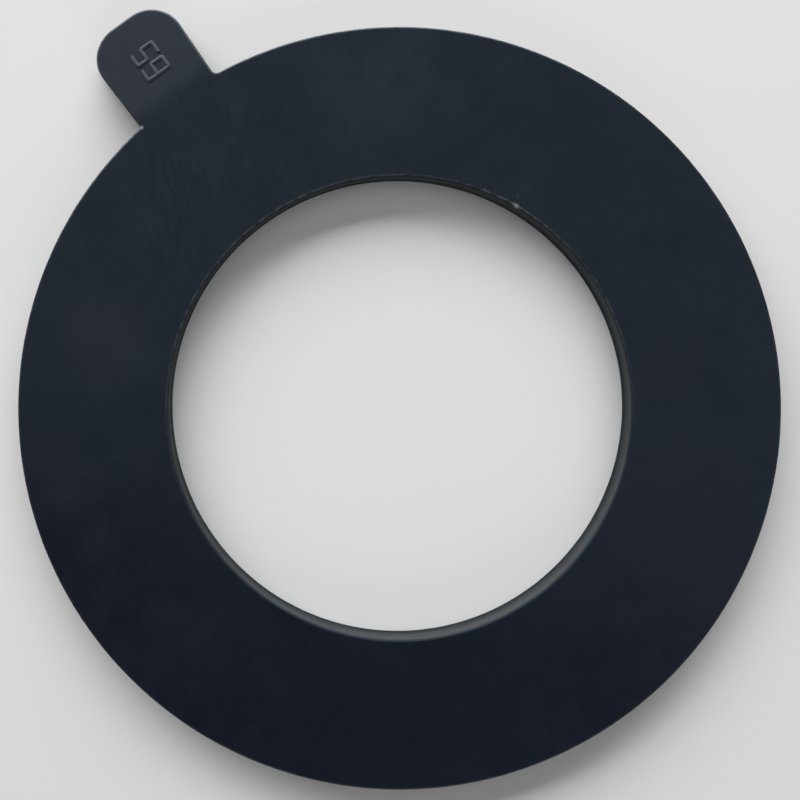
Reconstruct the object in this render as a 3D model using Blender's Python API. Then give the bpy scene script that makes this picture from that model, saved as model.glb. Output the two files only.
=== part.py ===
"""Flat rubber flange gasket with a pull tab, for a pipe flange of 65 mm nominal bore.

Metres, +Z up. The gasket lies flat: its lower face is at Z = 0 and its tab points along +Y.
The origin is below the middle of its outline, ring and tab together, so the axis of the bore
stands half the tab's reach behind the origin.
"""

import math

import bmesh
import bpy
from mathutils import Vector

# Driving sizes of the ring
OUTSIDE_DIAMETER = 0.127
BORE_DIAMETER = 0.077
THICKNESS = 0.004
RIM_RADIUS = 0.00035

# Driving sizes of the tab
TAB_REACH = 0.0161
TAB_ROOT_WIDTH = 0.0151
TAB_TIP_WIDTH = 0.0162
TAB_CORNER_RADIUS = 0.0059
TAB_LEFT_ROOT_RADIUS = 0.0003
TAB_RIGHT_ROOT_RADIUS = 0.0010
TAB_TIP_THICKNESS = 0.0030
TAB_BEND_LENGTH = 0.0030

# Fineness of the round stretches
CIRCLE_STEPS = 144
CORNER_STEPS = 10
ROOT_STEPS = 4
RIM_STEPS = 3
BEND_ROWS = 4
SHARP_ANGLE = math.radians(30)
WELD_DISTANCE = 0.00001

# What follows from the driving sizes
OUTSIDE_RADIUS = OUTSIDE_DIAMETER / 2
BORE_RADIUS = BORE_DIAMETER / 2
ROOT_Y = math.sqrt(OUTSIDE_RADIUS**2 - (TAB_ROOT_WIDTH / 2) ** 2)
TIP_Y = OUTSIDE_RADIUS + TAB_REACH
RING_CENTRE_Y = -TAB_REACH / 2


def clear_scene():
    for old in list(bpy.data.objects):
        bpy.data.objects.remove(old, do_unlink=True)


def new_collection(name):
    collection = bpy.data.collections.new(name)
    bpy.context.scene.collection.children.link(collection)
    return collection


def rubber_material():
    """Black rubber with a grey bloom, satin where the mould was smooth."""
    material = bpy.data.materials.new("rubber")
    material.use_nodes = True
    shader = material.node_tree.nodes["Principled BSDF"]
    shader.inputs["Base Color"].default_value = (0.016, 0.019, 0.024, 1.0)
    shader.inputs["Roughness"].default_value = 0.5
    shader.inputs["Metallic"].default_value = 0.0
    return material


def angle_of(direction):
    return math.atan2(direction.y, direction.x)


def on_circle(centre, radius, angle):
    return centre + radius * Vector((math.cos(angle), math.sin(angle)))


def arc(centre, radius, start, end, steps):
    """Points on an arc from one angle to another, both ends included."""
    return [on_circle(centre, radius, start + (end - start) * i / steps) for i in range(steps + 1)]


def tab_side(root_radius):
    """One side of the tab, at +X, from its root on the ring to the flat of its tip.

    The side is a straight line that flares from the root's width to the tip's. The root
    fillet touches that line and the ring, and lies outside both. The tip's corner touches
    the line and the tip's end, and lies inside both.
    """
    root = Vector((TAB_ROOT_WIDTH / 2, ROOT_Y))
    tip = Vector((TAB_TIP_WIDTH / 2, TIP_Y))
    along = (tip - root).normalized()
    outward = Vector((along.y, -along.x))
    line_offset = outward.dot(root)

    fillet_offset = line_offset + root_radius
    fillet_reach = OUTSIDE_RADIUS + root_radius
    fillet_along = math.sqrt(fillet_reach**2 - fillet_offset**2)
    fillet = outward * fillet_offset + along * fillet_along
    on_ring = angle_of(-fillet)
    on_side = angle_of(-outward) - math.tau
    points = arc(fillet, root_radius, on_ring, on_side, ROOT_STEPS)

    corner_radius = min(TAB_CORNER_RADIUS, 0.48 * TAB_TIP_WIDTH)
    corner_y = TIP_Y - corner_radius
    corner_x = (line_offset - corner_radius - outward.y * corner_y) / outward.x
    corner = Vector((corner_x, corner_y))
    points += arc(corner, corner_radius, angle_of(outward), math.pi / 2, CORNER_STEPS)
    return points


def ring_stretch(start, end):
    """The ring's own points between the tab's two roots, spaced evenly round the circle."""
    step = math.tau / CIRCLE_STEPS
    clear = step / 4
    angles = [step * i for i in range(2 * CIRCLE_STEPS)]
    kept = [angle for angle in angles if start + clear < angle < end - clear]
    return [on_circle(Vector((0, 0)), OUTSIDE_RADIUS, angle) for angle in kept]


def outline():
    """The whole outer edge, counterclockwise, about the axis of the bore."""
    right = tab_side(TAB_RIGHT_ROOT_RADIUS)
    left = [Vector((-p.x, p.y)) for p in reversed(tab_side(TAB_LEFT_ROOT_RADIUS))]
    ring = ring_stretch(angle_of(left[-1]), angle_of(right[0]) + math.tau)
    return right + left + ring


def bore():
    step = math.tau / CIRCLE_STEPS
    return [on_circle(Vector((0, 0)), BORE_RADIUS, step * i) for i in range(CIRCLE_STEPS)]


def sheet_cut_to(loops, collection):
    """A flat sheet of full thickness with its lower face at Z = 0, cut to the closed loops."""
    curve = bpy.data.curves.new("outline", "CURVE")
    curve.dimensions = "2D"
    curve.fill_mode = "BOTH"
    curve.extrude = THICKNESS / 2
    for loop in loops:
        spline = curve.splines.new("POLY")
        spline.points.add(len(loop) - 1)
        for point, place in zip(spline.points, loop):
            point.co = (place.x, place.y, 0.0, 1.0)
        spline.use_cyclic_u = True

    sheet = bpy.data.objects.new("outline", curve)
    sheet.location.z = THICKNESS / 2
    collection.objects.link(sheet)
    depsgraph = bpy.context.evaluated_depsgraph_get()
    mesh = bpy.data.meshes.new_from_object(sheet.evaluated_get(depsgraph))
    mesh.transform(sheet.matrix_world)
    bpy.data.objects.remove(sheet, do_unlink=True)
    return mesh


def round_the_rims(shape):
    """Every edge between a flat face and a wall gets the mould's small round."""
    rims = [edge for edge in shape.edges if edge.calc_face_angle() > SHARP_ANGLE]
    bmesh.ops.bevel(
        shape,
        geom=rims,
        affect="EDGES",
        offset=min(RIM_RADIUS, 0.4 * THICKNESS, 0.4 * TAB_TIP_THICKNESS),
        segments=RIM_STEPS,
        profile=0.5,
        clamp_overlap=False,
    )


def tab_drop(y):
    """How far the tab's upper face lies below the ring's: a soft bend, then a straight fall."""
    past_root = max(y - ROOT_Y, 0.0)
    slope = (THICKNESS - TAB_TIP_THICKNESS) / (TIP_Y - ROOT_Y - TAB_BEND_LENGTH / 2)
    if past_root < TAB_BEND_LENGTH:
        return slope * past_root**2 / (2 * TAB_BEND_LENGTH)
    return slope * (past_root - TAB_BEND_LENGTH / 2)


def thin_the_tab(shape):
    """Rows of edges are cut across the tab's bend, and the upper half then sinks to its slope."""
    for row in range(BEND_ROWS + 1):
        bmesh.ops.bisect_plane(
            shape,
            geom=list(shape.verts) + list(shape.edges) + list(shape.faces),
            dist=WELD_DISTANCE,
            plane_co=(0.0, ROOT_Y + TAB_BEND_LENGTH * row / BEND_ROWS, 0.0),
            plane_no=(0.0, 1.0, 0.0),
        )
    for vertex in shape.verts:
        if vertex.co.z > THICKNESS / 2:
            vertex.co.z -= tab_drop(vertex.co.y)


def make_gasket(collection):
    mesh = sheet_cut_to([outline(), bore()], collection)
    mesh.name = "gasket"
    shape = bmesh.new()
    shape.from_mesh(mesh)
    bmesh.ops.remove_doubles(shape, verts=shape.verts, dist=WELD_DISTANCE)
    bmesh.ops.recalc_face_normals(shape, faces=shape.faces)
    round_the_rims(shape)
    thin_the_tab(shape)
    shape.to_mesh(mesh)
    shape.free()

    mesh.shade_smooth()
    mesh.set_sharp_from_angle(angle=SHARP_ANGLE)
    mesh.materials.clear()
    mesh.materials.append(rubber_material())
    gasket = bpy.data.objects.new("gasket", mesh)
    gasket.location.y = RING_CENTRE_Y
    collection.objects.link(gasket)
    return gasket


def main():
    clear_scene()
    make_gasket(new_collection("flange_gasket"))


main()
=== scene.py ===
# %% [markdown]
# # A rubber flange gasket, seen from straight above
#
# The object is one flat ring of dark rubber with a short pull tab and a raised size number.
# It carries almost no form to hide behind, so everything depends on true rims, a believable
# rubber surface and light that shows both. The packed model is loaded first: it fixes the
# size and place of everything that follows.

import math

import bmesh
import bpy
from mathutils import Matrix, Vector, noise


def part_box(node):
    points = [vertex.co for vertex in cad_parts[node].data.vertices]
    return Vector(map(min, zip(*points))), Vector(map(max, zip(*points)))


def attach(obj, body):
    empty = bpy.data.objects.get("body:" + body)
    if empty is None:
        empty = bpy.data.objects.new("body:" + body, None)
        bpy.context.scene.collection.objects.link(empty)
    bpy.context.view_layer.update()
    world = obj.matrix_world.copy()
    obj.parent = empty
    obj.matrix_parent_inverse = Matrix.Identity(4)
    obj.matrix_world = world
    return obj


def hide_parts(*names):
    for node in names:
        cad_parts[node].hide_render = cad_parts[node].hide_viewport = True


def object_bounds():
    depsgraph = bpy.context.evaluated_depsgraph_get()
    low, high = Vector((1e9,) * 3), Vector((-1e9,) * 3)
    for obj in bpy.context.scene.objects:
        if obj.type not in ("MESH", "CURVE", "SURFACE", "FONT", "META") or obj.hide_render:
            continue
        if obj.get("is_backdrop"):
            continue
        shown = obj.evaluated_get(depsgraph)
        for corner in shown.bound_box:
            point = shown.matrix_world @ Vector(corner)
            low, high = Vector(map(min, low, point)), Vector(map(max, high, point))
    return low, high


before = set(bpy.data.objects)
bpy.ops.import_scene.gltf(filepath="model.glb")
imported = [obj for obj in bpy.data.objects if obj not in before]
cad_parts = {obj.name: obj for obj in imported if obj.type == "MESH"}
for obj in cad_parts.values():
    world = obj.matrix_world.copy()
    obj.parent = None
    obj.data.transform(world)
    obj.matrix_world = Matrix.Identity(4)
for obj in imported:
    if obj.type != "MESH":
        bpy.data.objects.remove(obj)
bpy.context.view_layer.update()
MM = 0.001

# %% [markdown]
# ## The gasket's own sizes
#
# The ring's outer radius, the thickness and the reach of the tab are read from the box of the
# solid, so the dressed piece can't drift away from it. The bore, the rims and the tab's shape
# repeat the values of the solid's drawing. All of them are set out round the axis of the bore.

# %% Sizes
LOW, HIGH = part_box("gasket")
OUTER_RADIUS = HIGH.x
THICKNESS = HIGH.z
TAB_REACH = (HIGH.y - LOW.y) - 2 * OUTER_RADIUS
BORE_AXIS = Vector((0.0, LOW.y + OUTER_RADIUS, 0.0))

BORE_RADIUS = 38.5 * MM
RIM_RADIUS = 0.35 * MM
TAB_ROOT_WIDTH = 15.1 * MM
TAB_TIP_WIDTH = 16.2 * MM
TAB_CORNER = 5.9 * MM
ROOT_LEFT = 0.3 * MM
ROOT_RIGHT = 1.0 * MM
TAB_TIP_THICKNESS = 3.0 * MM
TAB_BEND = 3.0 * MM

ROOT_Y = math.sqrt(OUTER_RADIUS**2 - (TAB_ROOT_WIDTH / 2) ** 2)
TIP_Y = OUTER_RADIUS + TAB_REACH
TAB_SLOPE = (THICKNESS - TAB_TIP_THICKNESS) / (TIP_Y - ROOT_Y - TAB_BEND / 2)
print("bore", round(2 * BORE_RADIUS / MM, 1), "outside", round(2 * OUTER_RADIUS / MM, 1), "mm")

# %% [markdown]
# ## The outer edge as one smooth line
#
# The edge is a circle that runs into the tab through two small fillets, goes up a side that
# flares a little, and turns the tip on two large corners. A drawing by formula is better here
# than a subdivided cage: the circle stays a true circle, and each stretch can be as fine as
# the rim's highlight needs. Two kinds of stretch are enough, arcs and straight lines, and both
# are cut into steps of about one length, the stations.

# %% Arcs and straights
STATION = 0.34 * MM
FEWEST_STEPS = 6
SAMPLE_RADIUS = 10.0 * MM


def angle_of(direction):
    return math.atan2(direction.y, direction.x)


def arc(centre, radius, start, end):
    """Points on an arc, both ends included, about one station apart."""
    steps = max(FEWEST_STEPS, math.ceil(abs(end - start) * radius / STATION))
    turns = [start + (end - start) * i / steps for i in range(steps + 1)]
    return [centre + radius * Vector((math.cos(turn), math.sin(turn))) for turn in turns]


def straight(start, end):
    """Points between two ends, the ends themselves left to the neighbouring arcs."""
    steps = math.ceil((end - start).length / STATION)
    return [start.lerp(end, i / steps) for i in range(1, steps)]


quarter = arc(Vector((0, 0)), SAMPLE_RADIUS, 0.0, math.pi / 2)
print("a quarter circle of", SAMPLE_RADIUS / MM, "mm takes", len(quarter), "points")

# %% [markdown]
# ## One side of the tab
#
# The side is a straight line from the root's width to the tip's. Its fillet touches that line
# and the ring from outside, so the fillet's centre lies one fillet radius beyond both. The
# corner at the tip touches the line and the tip from inside. The other side is the mirror
# image of this one, with a smaller fillet.


# %% Side of the tab
def tab_side(root_radius):
    """One side of the tab, from its root fillet on the ring to the middle of its tip."""
    root = Vector((TAB_ROOT_WIDTH / 2, ROOT_Y))
    tip = Vector((TAB_TIP_WIDTH / 2, TIP_Y))
    along = (tip - root).normalized()
    outward = Vector((along.y, -along.x))
    line_offset = outward.dot(root)

    off_line = line_offset + root_radius
    off_axis = OUTER_RADIUS + root_radius
    fillet = outward * off_line + along * math.sqrt(off_axis**2 - off_line**2)
    corner_y = TIP_Y - TAB_CORNER
    corner_x = (line_offset - TAB_CORNER - outward.y * corner_y) / outward.x
    corner = Vector((corner_x, corner_y))

    root_arc = arc(fillet, root_radius, angle_of(-fillet), angle_of(-outward) - math.tau)
    tip_arc = arc(corner, TAB_CORNER, angle_of(outward), math.pi / 2)
    half_tip = straight(tip_arc[-1], Vector((0.0, TIP_Y)))
    return root_arc + straight(root_arc[-1], tip_arc[0]) + tip_arc + half_tip


print("one side of the tab takes", len(tab_side(ROOT_RIGHT)), "points")

# %% [markdown]
# ## Both edges in full
#
# The outer edge goes up the right side of the tab, over the middle of its tip, down the left
# side and round the ring. The bore is a plain circle. Both are closed lines about the bore's
# axis, so the last point isn't the first one again.


# %% Both edges
def outer_edge():
    right = tab_side(ROOT_RIGHT)
    left = [Vector((-point.x, point.y)) for point in reversed(tab_side(ROOT_LEFT))]
    tip_middle = [Vector((0.0, TIP_Y))]
    ring = arc(Vector((0, 0)), OUTER_RADIUS, angle_of(left[-1]), angle_of(right[0]) + math.tau)
    return right + tip_middle + left + ring[1:-1]


def bore_edge():
    return arc(Vector((0, 0)), BORE_RADIUS, 0.0, math.tau)[:-1]


print(len(outer_edge()), "stations on the outer edge,", len(bore_edge()), "on the bore")

# %% [markdown]
# ## Directions in the picture
#
# In the photo the gasket lies turned, with its tab at the upper left. Every mark was read off
# that photo, so it is given by its angle in the picture, and a helper turns that into an angle
# round the bore. The camera and the lamps use the same two directions.

# %% Picture directions
PICTURE_TURN = math.radians(35.87)
PICTURE_RIGHT = Vector((math.cos(PICTURE_TURN), -math.sin(PICTURE_TURN), 0.0))
PICTURE_UP = Vector((math.sin(PICTURE_TURN), math.cos(PICTURE_TURN), 0.0))


def from_picture(degrees):
    """An angle seen in the picture, counterclockwise from its right edge, as one round the bore."""
    return math.radians(degrees) - PICTURE_TURN


print("the tab points to", round(math.degrees(PICTURE_TURN) + 90, 1), "degrees in the picture")

# %% [markdown]
# ## Wear on the rims
#
# Nobody handles rubber without marking its rims. The upper rim of the bore is bruised at the
# upper right of the photo and has a shallow nick at the lower left, and both rims waver by a
# few hundredths of a millimetre. All of it only takes material away, so the piece stays
# inside the solid. Each mark is a soft dent at an angle round the bore. The torn white speck
# on the bruise is painted by the material, further on.

# %% Rim wear
WAVER_REACH = 0.03 * MM
WAVER_LENGTH = 2.6 * MM
BORE_DENTS = [
    # picture angle, half width in degrees, depth in mm
    (209.5, 1.1, 0.16),
    (207.0, 0.8, 0.05),
    (214.0, 1.6, 0.06),
    (221.0, 2.2, 0.05),
    (58.5, 1.6, 0.10),
    (63.5, 2.4, 0.07),
    (68.8, 0.9, 0.09),
    (51.5, 2.0, 0.06),
]


def dent_at(angle):
    """How deep the bore's upper rim is dented at an angle, in metres."""
    depth = 0.0
    for degrees, half_width, depth_mm in BORE_DENTS:
        away = math.remainder(angle - from_picture(degrees), math.tau) / math.radians(half_width)
        depth += depth_mm * MM * math.exp(-away * away)
    return depth


def waver(point, reach):
    """A slow unevenness of a rim, between nothing and its reach."""
    sample = Vector((point.x, point.y, 0.0)) / WAVER_LENGTH
    return reach * (0.5 + 0.5 * noise.noise(sample))


print("deepest dent", max(depth for _, _, depth in BORE_DENTS), "mm")

# %% [markdown]
# ## The section of the edge
#
# The section of the wall is a quarter round at the top, a straight wall and a quarter round
# at the bottom. Two more loops lie on the flat faces, a little inside the rim. They keep the
# shading of the rim from bleeding over the wide flat faces, and they end the band of rim wear
# and painted highlight that the material puts along the rim.

# %% Section
RIM_STEPS = 7
WALL_STEPS = 8
SUPPORT_LOOPS = [0.5 * MM, 0.2 * MM]


def section():
    """Pairs of inset and height, from the upper face down to the lower one."""
    turns = [math.pi / 2 * i / RIM_STEPS for i in range(RIM_STEPS + 1)]
    upper = [(RIM_RADIUS + support, THICKNESS) for support in SUPPORT_LOOPS]
    for turn in turns:
        inset = RIM_RADIUS * (1 - math.sin(turn))
        upper.append((inset, THICKNESS - RIM_RADIUS * (1 - math.cos(turn))))
    wall_height = THICKNESS - 2 * RIM_RADIUS
    wall = [(0.0, RIM_RADIUS + wall_height * (1 - i / WALL_STEPS)) for i in range(1, WALL_STEPS)]
    lower = [(inset, THICKNESS - height) for inset, height in reversed(upper)]
    return upper + wall + lower


SECTION = section()
DEEPEST = max(inset for inset, height in SECTION)
print(len(SECTION), "points across the wall, the deepest", round(DEEPEST / MM, 2), "mm in")

# %% [markdown]
# ## Which way the rubber lies
#
# At each station the section is pushed in from the edge, at a right angle to it. Rubber lies
# to the left of the outer edge as one walks along it, and to the right of the bore's edge.


# %% Inward normals
def inward_normals(edge, into_bore):
    """The direction into the rubber at each station."""
    count = len(edge)
    normals = []
    for i, point in enumerate(edge):
        along = (edge[(i + 1) % count] - edge[i - 1]).normalized()
        normals.append(Vector((along.y, -along.x)) if into_bore else Vector((-along.y, along.x)))
    return normals


first_normal = inward_normals(bore_edge(), into_bore=True)[0]
first_angle = round(math.degrees(angle_of(first_normal)))
print("at the bore's first station the rubber lies at", first_angle, "degrees")

# %% [markdown]
# ## Sweeping the section round both edges
#
# The section is carried round each edge station by station and joined by quads. Sweeping by
# hand is worth it here: a curve's own bevel would cut corners at the tab's tight root fillet,
# and it could not take the dents. Each vertex also stores how far it lies from the edge,
# which is what the band of rim wear and painted highlight is painted by.


# %% Sweep
def sweep(shape, edge, into_bore):
    """Carries the section round an edge; returns its first and last loops of vertices."""
    loops = []
    normals = inward_normals(edge, into_bore)
    from_edge = shape.verts.layers.float["from_edge"]
    for inset, height in SECTION:
        upper = max(0.0, (height / THICKNESS - 0.5) * 2)
        loop = []
        for point, normal in zip(edge, normals):
            wear = waver(point, WAVER_REACH) if inset < RIM_RADIUS else 0.0
            if into_bore:
                near_rim = max(0.0, 1 - inset / DEEPEST)
                wear += dent_at(angle_of(point)) * upper**2 * near_rim
            place = point + normal * (inset + wear)
            vertex = shape.verts.new((place.x, place.y, height))
            vertex[from_edge] = inset / MM
            loop.append(vertex)
        loops.append(loop)
    count = len(edge)
    for above, below in zip(loops, loops[1:]):
        for i in range(count):
            j = (i + 1) % count
            ring = (above[i], below[i], below[j], above[j])
            shape.faces.new(reversed(ring) if into_bore else ring)
    return loops[0], loops[-1]


print("the bore's wall will have", len(bore_edge()) * (len(SECTION) - 1), "quads")

# %% [markdown]
# ## The flat faces
#
# Both flat faces are filled between the outer loop and the bore's loop. They are plane, so
# triangles from rim to rim are enough.


# %% Cap
def cap(shape, loops):
    """Fills the flat face between the outer loop and the bore's loop."""
    edges = []
    for loop in loops:
        for i, vertex in enumerate(loop):
            edges.append(shape.edges.get((vertex, loop[i - 1])))
    bmesh.ops.triangle_fill(shape, edges=edges, use_beauty=True)


print("each face is filled between", len(outer_edge()), "and", len(bore_edge()), "points")

# %% [markdown]
# ## Thinning the tab
#
# In the photo the tab is lighter than the ring, and the change takes about three millimetres
# just outside the ring's own circle. A face that leans a few degrees away takes its light from
# elsewhere, so part of that is shape: the tab thins from four millimetres to three. The rest
# is painted light: a paler tone in the material. Rows of edges are cut across the tab first,
# and then its upper half sinks: softly over the bend, and in a straight fall after it.

# %% Tab
BEND_ROWS = 14
CUT_TOLERANCE = 0.001 * MM


def tab_drop(y):
    past_root = max(y - ROOT_Y, 0.0)
    if past_root < TAB_BEND:
        return TAB_SLOPE * past_root**2 / (2 * TAB_BEND)
    return TAB_SLOPE * (past_root - TAB_BEND / 2)


def thin_the_tab(shape):
    for row in range(BEND_ROWS + 1):
        bmesh.ops.bisect_plane(
            shape,
            geom=list(shape.verts) + list(shape.edges) + list(shape.faces),
            dist=CUT_TOLERANCE,
            plane_co=(0.0, ROOT_Y + TAB_BEND * row / BEND_ROWS, 0.0),
            plane_no=(0.0, 1.0, 0.0),
        )
    wall_height = THICKNESS - 2 * RIM_RADIUS
    for vertex in shape.verts:
        share = (vertex.co.z - RIM_RADIUS) / wall_height
        vertex.co.z -= tab_drop(vertex.co.y) * min(max(share, 0.0), 1.0)


print("the tip of the tab lies", round(tab_drop(TIP_Y) / MM, 2), "mm lower")

# %% [markdown]
# ## One body
#
# The real gasket is one moulded piece, so the ring, the tab and their walls become one closed
# mesh: two sweeps, two caps and the sink of the tab. Everything is drawn round the bore's axis
# and moved to its place in the frame at the very end.


# %% Gasket body
def build_gasket():
    shape = bmesh.new()
    shape.verts.layers.float.new("from_edge")
    outer_top, outer_bottom = sweep(shape, outer_edge(), into_bore=False)
    bore_top, bore_bottom = sweep(shape, bore_edge(), into_bore=True)
    cap(shape, (outer_top, bore_top))
    cap(shape, (outer_bottom, bore_bottom))
    thin_the_tab(shape)
    bmesh.ops.recalc_face_normals(shape, faces=shape.faces)
    bmesh.ops.translate(shape, verts=shape.verts, vec=BORE_AXIS)
    mesh = bpy.data.meshes.new("gasket_body")
    shape.to_mesh(mesh)
    shape.free()
    mesh.shade_smooth()
    piece = bpy.data.objects.new("gasket_body", mesh)
    bpy.context.scene.collection.objects.link(piece)
    return piece


gasket_body = build_gasket()
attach(gasket_body, "root")
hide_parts("gasket")
print("gasket body has", len(gasket_body.data.polygons), "faces")

# %% [markdown]
# ## The figures of the number
#
# The tab bears the nominal bore, 65, in blocky figures. Each is drawn as one stroke, a path
# with its corners turned on small arcs, as the mould's maker would guide a tool along it.

# %% Figures
FIGURE_HEIGHT = 4.15 * MM
FIGURE_WIDTH = 2.1 * MM
FIGURE_WAIST = 0.55
FIGURE_TURN = 0.22 * MM
TURN_STEPS = 6

TOP, MIDDLE, BASE = FIGURE_HEIGHT, FIGURE_HEIGHT * FIGURE_WAIST, 0.0
LEFT, RIGHT = 0.0, FIGURE_WIDTH
SIX = [(RIGHT, TOP), (LEFT, TOP), (LEFT, BASE), (RIGHT, BASE), (RIGHT, MIDDLE), (LEFT, MIDDLE)]
FIVE = [(RIGHT, TOP), (LEFT, TOP), (LEFT, MIDDLE), (RIGHT, MIDDLE), (RIGHT, BASE), (LEFT, BASE)]


def rounded(points, radius):
    """A path through the points, with each inner corner turned on a small arc."""
    path = [Vector(points[0])]
    for before, corner, after in zip(points, points[1:], points[2:]):
        corner = Vector(corner)
        arrive = (Vector(before) - corner).normalized() * radius
        leave = (Vector(after) - corner).normalized() * radius
        for i in range(TURN_STEPS + 1):
            t = i / TURN_STEPS
            path.append(corner + arrive * (1 - t) ** 2 + leave * t**2)
    path.append(Vector(points[-1]))
    return path


print("the six is drawn through", len(rounded(SIX, FIGURE_TURN)), "points")

# %% [markdown]
# ## The raised size number
#
# The strokes stand up a fifth of a millimetre. They look cut into the mould with one
# ball-nosed tool, so a stroke is a round-backed ridge of even width. A curve with a round
# bevel, sunk in the tab for more than half, is just that. The figures read outwards along the
# tab and follow the fall of its upper face.

# %% Size number
STROKE_RADIUS = 0.50 * MM
STROKE_SINK = 0.31 * MM
STROKE_STEPS = 5
NUMBER_START = 68.6 * MM
NUMBER_SHIFT = 0.19 * MM
FIGURE_PITCH = 3.05 * MM


def build_number():
    curve = bpy.data.curves.new("size_number", "CURVE")
    curve.dimensions = "3D"
    curve.bevel_depth = STROKE_RADIUS
    curve.bevel_resolution = STROKE_STEPS
    curve.use_fill_caps = True
    for place, figure in enumerate((SIX, FIVE)):
        path = rounded(figure, FIGURE_TURN)
        spline = curve.splines.new("POLY")
        spline.points.add(len(path) - 1)
        for point, stroke in zip(spline.points, path):
            along = NUMBER_START + FIGURE_PITCH * place + stroke.x
            across = FIGURE_HEIGHT / 2 - stroke.y + NUMBER_SHIFT
            height = THICKNESS - tab_drop(along) - STROKE_SINK
            point.co = (across, along, height, 1.0)
    drawn = bpy.data.objects.new("size_number_path", curve)
    bpy.context.scene.collection.objects.link(drawn)
    depsgraph = bpy.context.evaluated_depsgraph_get()
    mesh = bpy.data.meshes.new_from_object(drawn.evaluated_get(depsgraph))
    mesh.transform(Matrix.Translation(BORE_AXIS))
    mesh.shade_smooth()
    bpy.data.objects.remove(drawn)
    piece = bpy.data.objects.new("size_number", mesh)
    bpy.context.scene.collection.objects.link(piece)
    return piece


size_number = build_number()
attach(size_number, "root")
print("size number has", len(size_number.data.polygons), "faces")

# %% [markdown]
# ## Shader maths as plain arithmetic
#
# A finish here is mostly sums and products of masks. A small class wraps a shader socket, so
# those can be written as ordinary Python: every operator adds one Math node. What is a plain
# number on both sides is still worked out in Python and costs the render nothing.


# %% Signal
class Signal:
    """An output of a shader node. Arithmetic on it adds Math nodes."""

    def __init__(self, board, socket):
        self.board = board
        self.socket = socket

    def math(self, operation, first, second):
        return self.board.node("ShaderNodeMath", {"operation": operation}, {0: first, 1: second})

    def __add__(self, other):
        return self.math("ADD", self, other)

    def __radd__(self, other):
        return self.math("ADD", other, self)

    def __sub__(self, other):
        return self.math("SUBTRACT", self, other)

    def __rsub__(self, other):
        return self.math("SUBTRACT", other, self)

    def __mul__(self, other):
        return self.math("MULTIPLY", self, other)

    def __rmul__(self, other):
        return self.math("MULTIPLY", other, self)


print("a signal can", [name.strip("_") for name, part in vars(Signal).items() if callable(part)])

# %% [markdown]
# ## One method for any node
#
# It takes the node's type, its settings, which come first because they can change the
# sockets, and a value or a signal for each socket. A value stays on the socket itself, and
# only a signal becomes a link.


# %% Bare board
class BareBoard:
    """The nodes of a material, or of the world, under construction."""

    def __init__(self, tree):
        self.tree = tree

    def node(self, kind, settings, inputs, output=0):
        """Adds a node: its settings first, then a value or a signal for each socket."""
        made = self.tree.nodes.new(kind)
        for name, value in settings.items():
            setattr(made, name, value)
        for name, value in inputs.items():
            self.feed(made.inputs[name], value)
        return Signal(self, made.outputs[output])

    def feed(self, socket, value):
        if isinstance(value, Signal):
            self.tree.links.new(value.socket, socket)
        else:
            socket.default_value = value


print("a bare board has", [name for name in vars(BareBoard) if not name.startswith("_")])

# %% [markdown]
# ## Short names for common nodes
#
# A few nodes come back in every finish: a soft step, noise, a mix of two colours and vector
# maths. Their short names keep the finishes readable. The room's light is wired on such a
# board too, further on. A noise is given by its scale, which counts its clouds per metre, its
# detail and its roughness.


# %% Board
class Board(BareBoard):
    """A board with short names for the nodes that every finish needs."""

    def step(self, value, low, high):
        """Goes softly from 0 at low to 1 at high; low may be the larger of the two."""
        settings = {"interpolation_type": "SMOOTHSTEP"}
        return self.node("ShaderNodeMapRange", settings, {"Value": value, 1: low, 2: high})

    def clamp(self, value):
        """Cuts a signal off below 0 and above 1."""
        return self.node("ShaderNodeClamp", {}, {"Value": value})

    def noise(self, place, scale, detail, roughness=0.5):
        """Soft random clouds between 0 and 1."""
        values = {"Vector": place, "Scale": scale, "Detail": detail, "Roughness": roughness}
        return self.node("ShaderNodeTexNoise", {}, values, "Fac")

    def mix(self, share, first, second):
        """A colour between two others."""
        settings = {"data_type": "RGBA"}
        return self.node("ShaderNodeMix", settings, {0: share, 6: first, 7: second}, 2)

    def vector(self, operation, first, second=(0.0, 0.0, 0.0), output=0):
        settings = {"operation": operation}
        return self.node("ShaderNodeVectorMath", settings, {0: first, 1: second}, output)

    def joined(self, x, y, z=0.0):
        """A vector from its three parts."""
        return self.node("ShaderNodeCombineXYZ", {}, {0: x, 1: y, 2: z})

    def split(self, vector):
        """The three parts of a vector."""
        first = self.node("ShaderNodeSeparateXYZ", {}, {0: vector})
        return [Signal(self, socket) for socket in first.socket.node.outputs]


print("short names:", ", ".join(name for name in vars(Board) if not name.startswith("_")))

# %% [markdown]
# ## A fresh material
#
# Every finish here starts from Blender's Principled shader. Only its sockets and the board are
# needed to wire it.


# %% New finish
def new_finish(name):
    """A new material, the board to wire it on, and the sockets of its shader."""
    material = bpy.data.materials.new(name)
    material.use_nodes = True
    board = Board(material.node_tree)
    return material, board, board.tree.nodes["Principled BSDF"].inputs


def rgb(red, green, blue):
    return (red, green, blue, 1.0)


print("black is", rgb(0.0, 0.0, 0.0))

# %% [markdown]
# ## Finding a place on the gasket
#
# Marks are easiest to read off a photo as an angle and a radius round the bore. One helper
# turns such a pair into a point, measured from the bore's axis, and the material measures its
# own places from that axis too.


# %% Places
def on_face(picture_degrees, radius_mm):
    """A point on the upper face, from its angle in the picture and its radius."""
    angle = from_picture(picture_degrees)
    radius = radius_mm * MM
    return Vector((radius * math.cos(angle), radius * math.sin(angle), THICKNESS))


tab_root = on_face(132.6, 63.4)
print("the tab's left root is at", [round(part / MM, 1) for part in tab_root], "mm")
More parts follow.
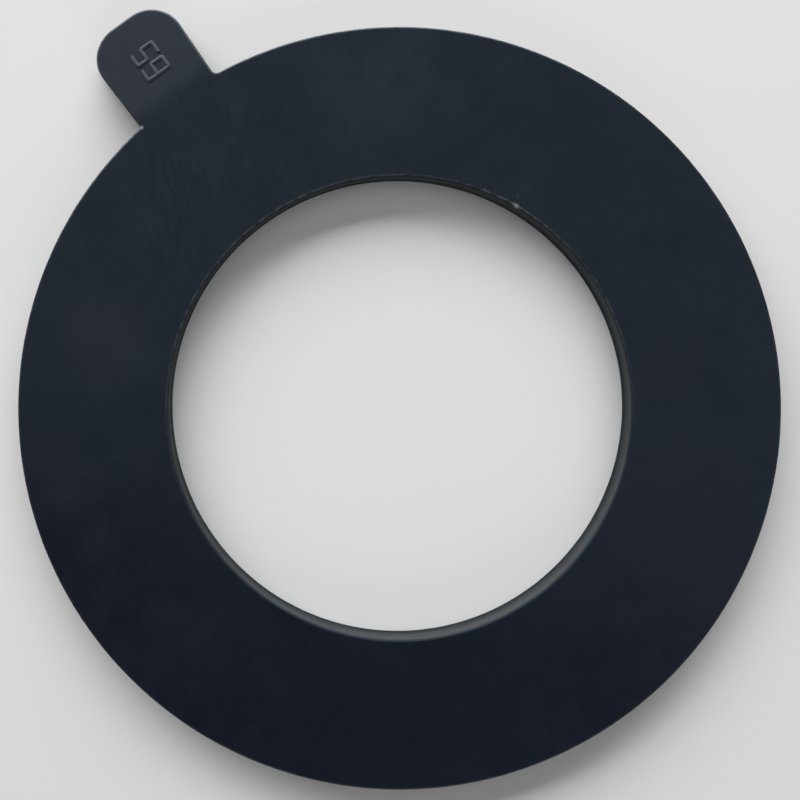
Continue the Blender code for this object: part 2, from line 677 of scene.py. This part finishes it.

# %% [markdown]
# ## Clouds of bloom and painted sheen
#
# The face has cloudy patches of bloom, the pale film that old rubber sweats out, and darker
# patches where it was rubbed off. The strongest light cloud, at the top of the picture, is
# painted sheen instead: the glow of a lamp that the face mirrors there. In a few broad places
# the slate leans to violet. Each list gives a mark's place and size, so a mark can be moved
# without touching the material.

# %% Clouds
CLOUDS_AND_SHEEN = [
    # picture angle, radius in mm, reach in mm, strength (below nought is darker)
    # painted sheen: the glow of a lamp mirrored at the top of the picture
    (95.0, 52.0, 12.5, 0.72),
    (88.0, 60.5, 7.0, 0.35),
    (83.0, 53.0, 7.0, 0.25),
    (141.0, 53.5, 9.0, 0.30),
    (133.0, 47.5, 6.0, 0.20),
    (164.0, 56.0, 9.5, 0.40),
    (168.5, 47.5, 12.0, 0.55),
    (192.0, 57.0, 9.0, 0.55),
    (205.0, 54.0, 7.0, 0.30),
    (221.5, 50.8, 5.0, 0.35),
    (230.5, 51.0, 5.0, 0.30),
    (225.5, 58.5, 4.5, 0.35),
    (61.0, 41.5, 3.5, 0.40),
    (179.0, 42.5, 5.0, -0.45),
    (186.5, 50.5, 5.5, -0.40),
    (114.0, 53.5, 9.0, -0.35),
    (146.0, 58.5, 6.0, -0.30),
    (62.0, 58.0, 8.0, -0.25),
    (308.0, 51.0, 9.0, -0.20),
]
VIOLET_PATCHES = [
    # picture angle, radius in mm, reach in mm, strength
    (9.0, 45.5, 13.0, 0.45),
    (340.0, 50.0, 20.0, 0.60),
    (166.0, 50.0, 16.0, 0.60),
    (330.0, 53.0, 12.0, 0.20),
]
widest = max(reach for _, _, reach, _ in CLOUDS_AND_SHEEN)
print(len(CLOUDS_AND_SHEEN), "clouds, the widest reaching", widest, "mm")

# %% [markdown]
# ## Specks and scratches
#
# One speck is torn and almost white, on the bruise of the bore's rim. The almost white speck
# at the tab's left root is a painted highlight, the glint in the small fillet between tab and
# ring. The others are dust and small scuffs. The scratches are hair-fine and faint.

# %% Specks and scratches
SPECKS = [
    # picture angle, radius in mm, reach in mm, strength (above one is almost white)
    (60.0, 38.72, 0.70, 2.0),
    (60.8, 38.88, 0.55, 0.7),
    # a painted highlight: the glint in the small fillet at the tab's left root
    (132.6, 63.36, 0.52, 1.8),
    (68.7, 38.92, 0.50, 0.30),
    (60.9, 40.4, 0.40, 0.07),
    (129.8, 62.1, 0.50, 0.05),
    (221.6, 50.4, 0.60, 0.03),
    (226.4, 53.6, 0.50, 0.03),
    (170.0, 52.6, 0.60, 0.03),
    (327.3, 58.3, 0.45, 0.05),
    (123.6, 56.6, 0.60, -0.7),
    (283.0, 47.6, 0.45, -0.4),
]
SCRATCHES = [
    # picture angle and radius in mm of both ends, half width in mm, strength
    (191.7, 54.5, 190.6, 50.3, 0.26, 0.035),
    (190.6, 50.3, 188.7, 45.3, 0.24, 0.035),
    (86.6, 58.2, 84.2, 53.7, 0.45, 0.035),
    (61.4, 40.7, 60.5, 40.0, 0.16, 0.10),
    (60.5, 40.0, 59.4, 40.5, 0.16, 0.08),
    (141.5, 58.6, 143.8, 51.2, 0.35, 0.022),
    (138.0, 54.8, 139.0, 50.9, 0.30, 0.020),
    (221.0, 55.6, 224.6, 55.9, 0.25, 0.025),
    (309.0, 44.6, 311.5, 47.6, 0.22, 0.018),
]
print(len(SPECKS), "specks and", len(SCRATCHES), "scratches")

# %% [markdown]
# ## Spots and strokes
#
# A spot is made from the distance to a point, and a stroke from the distance to a line: both
# are 1 in the middle and fade to nothing at their reach. Distances in space, instead of a
# painted picture, need no unwrapping, and they stay crisp however near the camera comes.


# %% Spots and strokes
def near(board, place, centre, reach):
    """A soft spot: 1 at its centre, 0 from its reach outwards."""
    return board.step(board.vector("DISTANCE", place, centre, 1), reach, 0.0)


def spots(board, place, rows):
    """The sum of soft spots: a picture angle, a radius, a reach and a strength for each."""
    total = 0.0
    for degrees, radius, reach, strength in rows:
        total = near(board, place, on_face(degrees, radius), reach * MM) * strength + total
    return total


def stroke(board, place, start, end, half_width):
    """A soft line between two points, 1 along its middle and 0 past its half width."""
    run = end - start
    from_start = board.vector("SUBTRACT", place, start)
    share = board.clamp(board.vector("DOT_PRODUCT", from_start, run / run.length_squared, 1))
    on_line = board.node("ShaderNodeVectorMath", {"operation": "SCALE"}, {0: run, "Scale": share})
    return board.step(board.vector("DISTANCE", from_start, on_line, 1), half_width, 0.0)


longest = max((on_face(*row[2:4]) - on_face(*row[0:2])).length for row in SCRATCHES)
print("the longest scratch is", round(longest / MM, 1), "mm")

# %% [markdown]
# ## Clouds and streaks
#
# The clouds are soft spots whose outline is broken by noise, because bloom follows no circle.
# At the upper left, a cloth or a hand went up and down the picture and left faint streaks:
# noise that is drawn out along one direction.

# %% Cloud and streak masks
CLOUD_NOISE = (190.0, 4.0, 0.6)
CLOUD_LEAST = 0.35
CLOUD_SPREAD = 1.3
STREAK_NOISE = (1050.0, 3.0, 0.6)
STREAK_STRETCH = 0.22
STREAK_LEAN = 0.16
STREAK_STRENGTH = 3.2
STREAKS_AT = (127.0, 51.0)
STREAKS_REACH = 36.0 * MM
PATCH_NOISE = (130.0, 2.0)
PATCH_EDGES = (0.38, 0.62)


def bloom_and_sheen_mask(board, place):
    """The patches of bloom and of painted sheen, their edges broken up."""
    drift = board.noise(place, *CLOUD_NOISE)
    return spots(board, place, CLOUDS_AND_SHEEN) * (CLOUD_LEAST + CLOUD_SPREAD * drift)


def streak_mask(board, place):
    """Faint wiping streaks, up and down the picture, that come and go."""
    across = board.vector("DOT_PRODUCT", place, PICTURE_RIGHT + STREAK_LEAN * PICTURE_UP, 1)
    along = board.vector("DOT_PRODUCT", place, PICTURE_UP, 1)
    drawn_out = board.joined(across, along * STREAK_STRETCH)
    streaks = board.noise(drawn_out, *STREAK_NOISE) - 0.5
    patches = board.step(board.noise(place, *PATCH_NOISE), *PATCH_EDGES)
    region = near(board, place, on_face(*STREAKS_AT), STREAKS_REACH)
    return STREAK_STRENGTH * streaks * patches * region


print("the streaks reach", round(STREAKS_REACH / MM, 1), "mm round their middle")

# %% [markdown]
# ## Tint, specks and scratches
#
# The tint drifts slowly, and the violet patches are added to that. Specks and scratches are
# small and crisp. Light and dark ones are summed in one mask: above nought it lightens the
# rubber, below nought it darkens it.

# %% Tint and mark masks
HUE_NOISE = (80.0, 4.0, 0.7)
HUE_SPREAD = 0.75
HUE_SHIFT = 0.23
SCRATCH_NOISE = (1500.0, 3.0)
SCRATCH_EDGES = (0.30, 0.60)


def hue_mask(board, place):
    """Where the slate leans to violet instead of teal."""
    drift = HUE_SPREAD * board.noise(place, *HUE_NOISE) - HUE_SHIFT
    return board.clamp(drift + spots(board, place, VIOLET_PATCHES))


def mark_mask(board, place):
    """Specks and scratches; the scratches are worn through here and there."""
    total = spots(board, place, SPECKS)
    worn_through = board.step(board.noise(place, *SCRATCH_NOISE), *SCRATCH_EDGES)
    for first, first_radius, last, last_radius, half_width, strength in SCRATCHES:
        start, end = on_face(first, first_radius), on_face(last, last_radius)
        line = stroke(board, place, start, end, half_width * MM)
        total = line * worn_through * strength + total
    return total


# above 1 a speck is almost white: torn on the bore's rim, a painted glint at the tab's root
strongest = max(row[-1] for row in SPECKS)
print("the strongest speck has strength", strongest, "and is torn above 1")

# %% [markdown]
# ## The band of wear and painted highlight along the rims
#
# Handling scuffs the round of each upper rim and a little of the face beside it, so rubber
# shows a thin light line there. The line is partly that wear and partly a painted highlight,
# the light that the round catches. The band is painted by the distance from the edge that the
# mesh stores, in millimetres, and it is patchy. Round the bore it follows the photo: strongest
# at the upper right, where the rim was bruised, painted highlight over the rest of the upper
# half, and gone over the lower half.

# %% Rim band
BAND_RISE = (0.0, 0.26)
BAND_FALL = (0.62, 0.22)
BORE_ZONE = (45.0 * MM, 41.0 * MM)
TOP_ZONE = (THICKNESS * 0.55, THICKNESS * 0.70)
OUTER_RUB = 0.12
# along the bore the band is rim wear and, over the upper half, painted highlight
BORE_RUBS_AND_HIGHLIGHTS = [
    # picture angle, radius in mm, reach in mm, strength
    (59.0, 38.9, 12.0, 0.50),
    (125.0, 38.9, 62.0, 0.42),
    (28.0, 38.9, 24.0, 0.22),
]
RUB_NOISE = (1100.0, 3.0, 0.6)
RUB_EDGES = (0.36, 0.66)
RUB_LEAST = 0.30
RUB_SPREAD = 1.40


def rim_wear_and_highlight(board, place):
    """How worn the upper rims are, with their painted highlight, from 0 to 1."""
    settings = {"attribute_name": "from_edge", "attribute_type": "GEOMETRY"}
    from_edge = board.node("ShaderNodeAttribute", settings, {}, "Fac")
    x, y, height = board.split(place)
    radius = board.vector("LENGTH", board.joined(x, y), output=1)
    band = board.step(from_edge, *BAND_RISE) * board.step(from_edge, *BAND_FALL)
    at_bore = board.step(radius, *BORE_ZONE)
    share = OUTER_RUB + at_bore * (spots(board, place, BORE_RUBS_AND_HIGHLIGHTS) - OUTER_RUB)
    patches = board.step(board.noise(place, *RUB_NOISE), *RUB_EDGES)
    patchy = RUB_LEAST + RUB_SPREAD * patches
    on_top = board.step(height, *TOP_ZONE)
    return band * share * patchy * on_top


print("the outer rim is worn", OUTER_RUB, "and the bore up to", max(row[-1] for row in BORE_RUBS_AND_HIGHLIGHTS))

# %% [markdown]
# ## The tones of the rubber
#
# Black rubber is never quite black. Its body colour is a very dark slate, a little bluer than
# grey. Bloom and painted sheen make it paler, and rubbing makes it darker. The tab's paler tone
# is painted light, for the light that its leaning face catches, and the trimmed walls are the
# palest. Reading such tones off a photo takes care, because part of what it shows is
# reflection and no colour at all.

# %% Rubber tones
FACE_DARK = rgb(0.0078, 0.0102, 0.0172)
FACE_LIGHT = rgb(0.0113, 0.0142, 0.0222)
FACE_VIOLET = rgb(0.0117, 0.0118, 0.0211)
# painted light: the tab's paler tone stands in for the light its leaning face catches
TAB_PAINTED_LIGHT = rgb(0.0216, 0.0232, 0.0324)
# pale bloom, and painted sheen where a cloud stands for a lamp's glow
BLOOM_AND_SHEEN = rgb(0.029, 0.034, 0.042)
RUBBED = rgb(0.0039, 0.0051, 0.0088)
WALL_TONE = rgb(0.0452, 0.0436, 0.0440)
# painted shade: black towards the bottom of the wall, next to the floor
FOOT_SHADE = rgb(0.0, 0.0, 0.0)
# pale grey of scuffs and wear, also the colour of the painted highlights on the rims and the number
SCUFF_AND_HIGHLIGHT = rgb(0.130, 0.130, 0.131)
# almost white: torn rubber on the bore's rim, and a painted highlight at the tab's root
TORN_SPECK_AND_GLINT = rgb(0.410, 0.410, 0.420)
print("the bloom is", round(BLOOM_AND_SHEEN[1] / FACE_DARK[1], 1), "times as light as the darkest face")

# %% [markdown]
# ## The face
#
# Slow noise moves the slate between a darker and a lighter tone, and another between teal and
# violet. At the bottom of the picture the skin is calm, so both get weaker there. The clouds
# and the streaks go over that, towards bloom and painted sheen where they are above nought
# and towards rubbed rubber where they are below. Over the tab the tone is painted paler, as
# painted light.

# %% Face
MOTTLE_EDGES = (0.37, 0.63)
TAB_LIGHT_FADE = (ROOT_Y - 0.6 * MM, ROOT_Y + 4.2 * MM)
BLOOM_AND_SHEEN_SHARE = 0.42
RUBBED_SHARE = 0.9
CALM_AT = (272.0, 52.0)
CALM_REACH = 38.0 * MM
CALM_STRENGTH = 0.75
CALM_SHARE = 0.36


def face_colour(board, place, mottle):
    calm = CALM_STRENGTH * near(board, place, on_face(*CALM_AT), CALM_REACH)
    light = board.step(mottle, *MOTTLE_EDGES)
    face = board.mix(light + calm * (CALM_SHARE - light), FACE_DARK, FACE_LIGHT)
    face = board.mix(hue_mask(board, place) * (1 - calm), face, FACE_VIOLET)
    # painted light: the tab is painted paler from its bend outwards
    tab_light = board.step(board.split(place)[1], *TAB_LIGHT_FADE)
    face = board.mix(tab_light, face, TAB_PAINTED_LIGHT)
    clouds = bloom_and_sheen_mask(board, place) + streak_mask(board, place)
    # bloom, with painted sheen at the top of the picture; rubbed rubber below nought
    face = board.mix(board.clamp(clouds * BLOOM_AND_SHEEN_SHARE), face, BLOOM_AND_SHEEN)
    return board.mix(board.clamp(clouds * -RUBBED_SHARE), face, RUBBED)


print("the tab's tone sets in over", round((TAB_LIGHT_FADE[1] - TAB_LIGHT_FADE[0]) / MM, 1), "mm")

# %% [markdown]
# ## The trimmed wall
#
# The walls look trimmed with a knife, and a knife leaves fine lines along its way. They are
# noise that is squeezed flat: hardly changing round the bore, and quickly changing with
# height. The wall is a plain cool grey with painted shade that darkens it towards the bottom,
# next to the floor, and it is a little lighter at the upper right of the picture.

# %% Trimmed wall
CUT_NOISE = (1300.0, 4.0, 0.7)
CUT_SQUEEZE = 0.12
LINES_LEAST = 0.45
LINES_SPREAD = 1.10
FOOT_SHADE_EDGES = (THICKNESS * 0.02, THICKNESS * 0.78)
FOOT_SHADE_LEAST = 0.08
BRUISE_AT = (59.0, 38.5)
BRUISE_REACH = 17.0 * MM
UPPER_RIGHT_LIFT = 0.50


def wall_colour(board, place):
    x, y, height = board.split(place)
    squeezed = board.joined(x * CUT_SQUEEZE, y * CUT_SQUEEZE, height)
    lines = LINES_LEAST + LINES_SPREAD * board.noise(squeezed, *CUT_NOISE)
    # painted shade: the wall darkens towards the floor
    foot_shade = FOOT_SHADE_LEAST + (1 - FOOT_SHADE_LEAST) * board.step(height, *FOOT_SHADE_EDGES)
    lighter_upper_right = near(board, place, on_face(*BRUISE_AT), BRUISE_REACH)
    level = foot_shade * lines * (1 + UPPER_RIGHT_LIFT * lighter_upper_right)
    return board.mix(level, FOOT_SHADE, WALL_TONE)


print("the broadest cutting lines lie about", round(1 / CUT_NOISE[0] / MM, 1), "mm apart")

# %% [markdown]
# ## The skin's fine grain
#
# A fine bump breaks the mirror of the satin skin up, as the skin of the mould did on the real
# piece. It is two noises, one a few pixels wide in the picture and one finer than a pixel.

# %% Skin grain
FINE_NOISE = (2600.0, 3.0)
COARSE_NOISE = (700.0, 2.0)
COARSE_SHARE = 0.5
GRAIN_DEPTH = 0.02 * MM
GRAIN_STRENGTH = 0.16


def skin_grain(board, place):
    """A normal that is shaken a little by the grain."""
    grain = board.noise(place, *FINE_NOISE) + COARSE_SHARE * board.noise(place, *COARSE_NOISE)
    relief = {"Strength": GRAIN_STRENGTH, "Distance": GRAIN_DEPTH, "Height": grain}
    return board.node("ShaderNodeBump", {}, relief, "Normal")


print("the grain is", round(GRAIN_DEPTH / MM, 3), "mm deep at most")

# %% [markdown]
# ## The rubber
#
# The skin is satin: smooth enough to mirror the panel above as a soft-edged field of light,
# which is part of what splits the ring of the photo into a lighter and a darker part. Rims and
# walls are rougher, and so is whatever is scuffed. The raised number is the same rubber, painted
# pale on its backs: partly wear, partly painted highlight where the backs face the light. How
# far a spot faces upward tells face, rim and wall apart.

# %% Rubber
SHEEN = rgb(0.56, 0.82, 0.98)
MOTTLE_NOISE = (95.0, 5.0, 0.82)
WALL_LEAN = (0.62, 0.12)
TURNED_LEAN = (0.99, 0.55)
RAISED_LEAN = (0.62, 0.88)
SATIN = 0.24
MOTTLE_ROUGHNESS = 0.10
TURNED_ROUGHNESS = 0.70
SCUFFED_ROUGHNESS = 0.20


def rubber(name, polish_and_highlight):
    """The whole material; the second argument says how pale the backs of raised parts are painted:
    wear and painted highlight.
    """
    material, board, sockets = new_finish(name)
    object_place = board.node("ShaderNodeTexCoord", {}, {}, "Object")
    place = board.vector("SUBTRACT", object_place, BORE_AXIS)
    upward = board.split(board.node("ShaderNodeNewGeometry", {}, {}, "Normal"))[2]
    mottle = board.noise(place, *MOTTLE_NOISE)
    marks = mark_mask(board, place)
    # scuffs and rim wear, together with the painted highlight on the rims and the painted glint
    scuffs_and_highlights = board.clamp(marks + rim_wear_and_highlight(board, place))

    wall = board.step(upward, *WALL_LEAN)
    colour = board.mix(wall, face_colour(board, place, mottle), wall_colour(board, place))
    colour = board.mix(scuffs_and_highlights, colour, SCUFF_AND_HIGHLIGHT)
    # the torn speck on the bore's rim, and the painted glint at the tab's root
    colour = board.mix(board.clamp(marks - 1), colour, TORN_SPECK_AND_GLINT)
    colour = board.mix(board.clamp(marks * -1), colour, RUBBED)
    roughness = SATIN + MOTTLE_ROUGHNESS * mottle
    roughness = roughness + TURNED_ROUGHNESS * board.step(upward, *TURNED_LEAN)
    roughness = roughness + SCUFFED_ROUGHNESS * scuffs_and_highlights
    if polish_and_highlight:
        # wear and painted highlight: the backs of the strokes, where they face up, are painted pale
        raised_wear_and_highlight = board.step(upward, *RAISED_LEAN) * polish_and_highlight
        colour = board.mix(raised_wear_and_highlight, colour, SCUFF_AND_HIGHLIGHT)
        roughness = roughness + raised_wear_and_highlight

    board.feed(sockets["Base Color"], colour)
    board.feed(sockets["Roughness"], roughness)
    board.feed(sockets["Specular Tint"], SHEEN)
    board.feed(sockets["Normal"], skin_grain(board, place))
    return material


gasket_body.data.materials.append(rubber("moulded_rubber", 0.0))
size_number.data.materials.append(rubber("number_rubber", 0.26))
print(len(gasket_body.data.materials[0].node_tree.nodes), "nodes in the rubber")

# %% [markdown]
# ## The camera
#
# Straight above and close by, about twelve centimetres off: the wall of the bore shows as a
# crescent that is wider at the lower right, which only a near eye gives. The outer circle's
# place and radius in the photo fix the focal length and the shift for a chosen height, and the
# crescent fixes the height and the point that the lens looks straight down on. The lens is
# shifted instead of tilted, because a tilt would turn the circles into ellipses.

# %% Camera
PHOTO_SIDE = 800
AXIS_PIXEL = Vector((320.0, 330.0))
RING_PIXEL = Vector((399.5, 408.2))
RING_RADIUS_PIXELS = 381.2
EYE_ABOVE_FACE = 116.6 * MM
SENSOR_WIDTH = 36.0
NEAREST = 5 * MM

PIXELS_PER_METRE = RING_RADIUS_PIXELS / OUTER_RADIUS
FOCAL_PIXELS = PIXELS_PER_METRE * (EYE_ABOVE_FACE + RIM_RADIUS)

camera_data = bpy.data.cameras.new("camera")
camera_data.sensor_width = SENSOR_WIDTH
camera_data.lens = SENSOR_WIDTH * FOCAL_PIXELS / PHOTO_SIDE
camera_data.shift_x = (PHOTO_SIDE / 2 - AXIS_PIXEL.x) / PHOTO_SIDE
camera_data.shift_y = (AXIS_PIXEL.y - PHOTO_SIDE / 2) / PHOTO_SIDE
camera_data.clip_start = NEAREST
camera = bpy.data.objects.new("camera", camera_data)
camera.rotation_euler = (0.0, 0.0, -PICTURE_TURN)
right_of_axis = (RING_PIXEL.x - AXIS_PIXEL.x) / PIXELS_PER_METRE
above_axis = (AXIS_PIXEL.y - RING_PIXEL.y) / PIXELS_PER_METRE
camera.location = BORE_AXIS - PICTURE_RIGHT * right_of_axis - PICTURE_UP * above_axis
camera.location.z = THICKNESS + EYE_ABOVE_FACE
bpy.context.scene.collection.objects.link(camera)
bpy.context.scene.camera = camera
print("lens", round(camera_data.lens, 2), "mm")
print("shift", round(camera_data.shift_x, 3), "across,", round(camera_data.shift_y, 3), "up")

# %% [markdown]
# ## The floor
#
# A plain pale floor, a hair below the lower face so that the two never fight over a pixel. Its
# colour, and not stronger lamps, makes the background pale. It catches the gasket's shadow and
# throws light back on the walls.

# %% Floor
FLOOR_REACH = 3.0
FLOOR_DROP = 0.02 * MM
FLOOR_TONE = rgb(0.90, 0.90, 0.90)
FLOOR_ROUGHNESS = 0.9

floor_finish, floor_board, floor_sockets = new_finish("pale_floor")
floor_board.feed(floor_sockets["Base Color"], FLOOR_TONE)
floor_board.feed(floor_sockets["Roughness"], FLOOR_ROUGHNESS)
floor_mesh = bpy.data.meshes.new("floor")
sheet = bmesh.new()
bmesh.ops.create_grid(sheet, x_segments=1, y_segments=1, size=FLOOR_REACH)
sheet.to_mesh(floor_mesh)
sheet.free()
floor_mesh.materials.append(floor_finish)
floor = bpy.data.objects.new("floor", floor_mesh)
floor.location.z = -FLOOR_DROP
bpy.context.scene.collection.objects.link(floor)
floor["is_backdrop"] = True
print("the floor reaches", FLOOR_REACH, "m each way")

# %% [markdown]
# ## The light of the room
#
# Flat dark rubber seen from straight above mirrors whatever hangs over it. A sky that is dim
# near the horizon and almost black overhead lights the walls and rims a little from all sides,
# and it leaves the reflection on the face to one panel, set up further on. Where the camera
# looks past the floor it sees a plain pale grey instead, which lights nothing.

# %% World
ZENITH_LIGHT = 0.006
HORIZON_LIGHT = 0.11
SEEN_LIGHT = 0.70
FADE_FROM = 0.25
FADE_TO = 0.75

world = bpy.data.worlds.new("studio")
world.use_nodes = True
sky = Board(world.node_tree)
background = world.node_tree.nodes["Background"].inputs
upwards = sky.split(sky.node("ShaderNodeTexCoord", {}, {}, "Generated"))[2]
fade = sky.step(upwards, FADE_FROM, FADE_TO)
room_light = HORIZON_LIGHT + fade * (ZENITH_LIGHT - HORIZON_LIGHT)
seen = sky.node("ShaderNodeLightPath", {}, {}, "Is Camera Ray")
sky.feed(background["Color"], rgb(1.0, 1.0, 1.0))
sky.feed(background["Strength"], room_light + seen * (SEEN_LIGHT - room_light))
bpy.context.scene.world = world
print("room light is", HORIZON_LIGHT, "at the horizon and", ZENITH_LIGHT, "overhead")

# %% [markdown]
# ## Lamps with a size
#
# All lamps are wide rectangles, because a wide lamp gives soft shadows. A side lamp stands low
# beside the gasket, at an angle round the picture, and is aimed at the bore.

# %% Lamp makers
SIDE_LAMP_DISTANCE = 2.2
SIDE_LAMP_HEIGHT = 0.84


def area_lamp(name, size, power):
    light = bpy.data.lights.new(name, "AREA")
    light.shape = "RECTANGLE"
    light.size, light.size_y = size
    light.energy = power
    lamp = bpy.data.objects.new(name, light)
    bpy.context.scene.collection.objects.link(lamp)
    return lamp


def side_lamp(name, picture_degrees, size, power):
    """A low lamp beside the gasket, aimed at the bore."""
    lamp = area_lamp(name, size, power)
    turn = math.radians(picture_degrees)
    outward = PICTURE_RIGHT * math.cos(turn) + PICTURE_UP * math.sin(turn)
    lamp.location = BORE_AXIS + outward * SIDE_LAMP_DISTANCE + Vector((0, 0, SIDE_LAMP_HEIGHT))
    lamp.rotation_euler = (BORE_AXIS - lamp.location).to_track_quat("-Z", "Y").to_euler()
    return lamp


low_angle = math.degrees(math.atan2(SIDE_LAMP_HEIGHT, SIDE_LAMP_DISTANCE))
print("side lamps stand", round(low_angle), "degrees above the floor")

# %% [markdown]
# ## Three lamps
#
# The wide key lamp stands beyond the top of the picture. It lights the wall of the bore that
# faces it, at the bottom of the picture, and glances off the rims. A weak fill opposite keeps
# the wall at the top from going black. The overhead panel is what the face mirrors: its near
# edge is the soft boundary that crosses the ring from the left to the lower right. The mirror
# rule gives the panel's place for the camera's height, and the boundary's slope its turn.

# %% Lamps
KEY_ANGLE = 104.0
KEY_SIZE = (4.6, 1.0)
KEY_POWER = 134.0
FILL_ANGLE = 285.0
FILL_SIZE = (2.6, 1.0)
FILL_POWER = 10.0
PANEL_SIZE = (1.4, 0.7)
PANEL_POWER = 1.0
PANEL_HEIGHT = 0.5
PANEL_RIGHT = 0.157
PANEL_UP = 0.150
PANEL_TURN = math.radians(-12.0)

side_lamp("key", KEY_ANGLE, KEY_SIZE, KEY_POWER)
side_lamp("fill", FILL_ANGLE, FILL_SIZE, FILL_POWER)
panel = area_lamp("overhead_panel", PANEL_SIZE, PANEL_POWER)
panel.location = camera.location + PICTURE_RIGHT * PANEL_RIGHT + PICTURE_UP * PANEL_UP
panel.location.z = PANEL_HEIGHT
panel.rotation_euler = (0.0, 0.0, PANEL_TURN - PICTURE_TURN)
print("key", KEY_POWER, "W, fill", FILL_POWER, "W, panel", PANEL_POWER, "W")

# %% [markdown]
# ## Colour management
#
# The Standard view shows colours as they are written. A film-like view would lift the blacks
# and grey the floor.

# %% View
bpy.context.scene.view_settings.view_transform = "Standard"
print("view transform", bpy.context.scene.view_settings.view_transform)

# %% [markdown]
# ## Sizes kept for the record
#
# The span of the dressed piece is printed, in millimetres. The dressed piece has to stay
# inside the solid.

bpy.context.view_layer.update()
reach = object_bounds()
print("dressed piece spans", [round(side / MM, 2) for side in reach[1] - reach[0]], "mm")
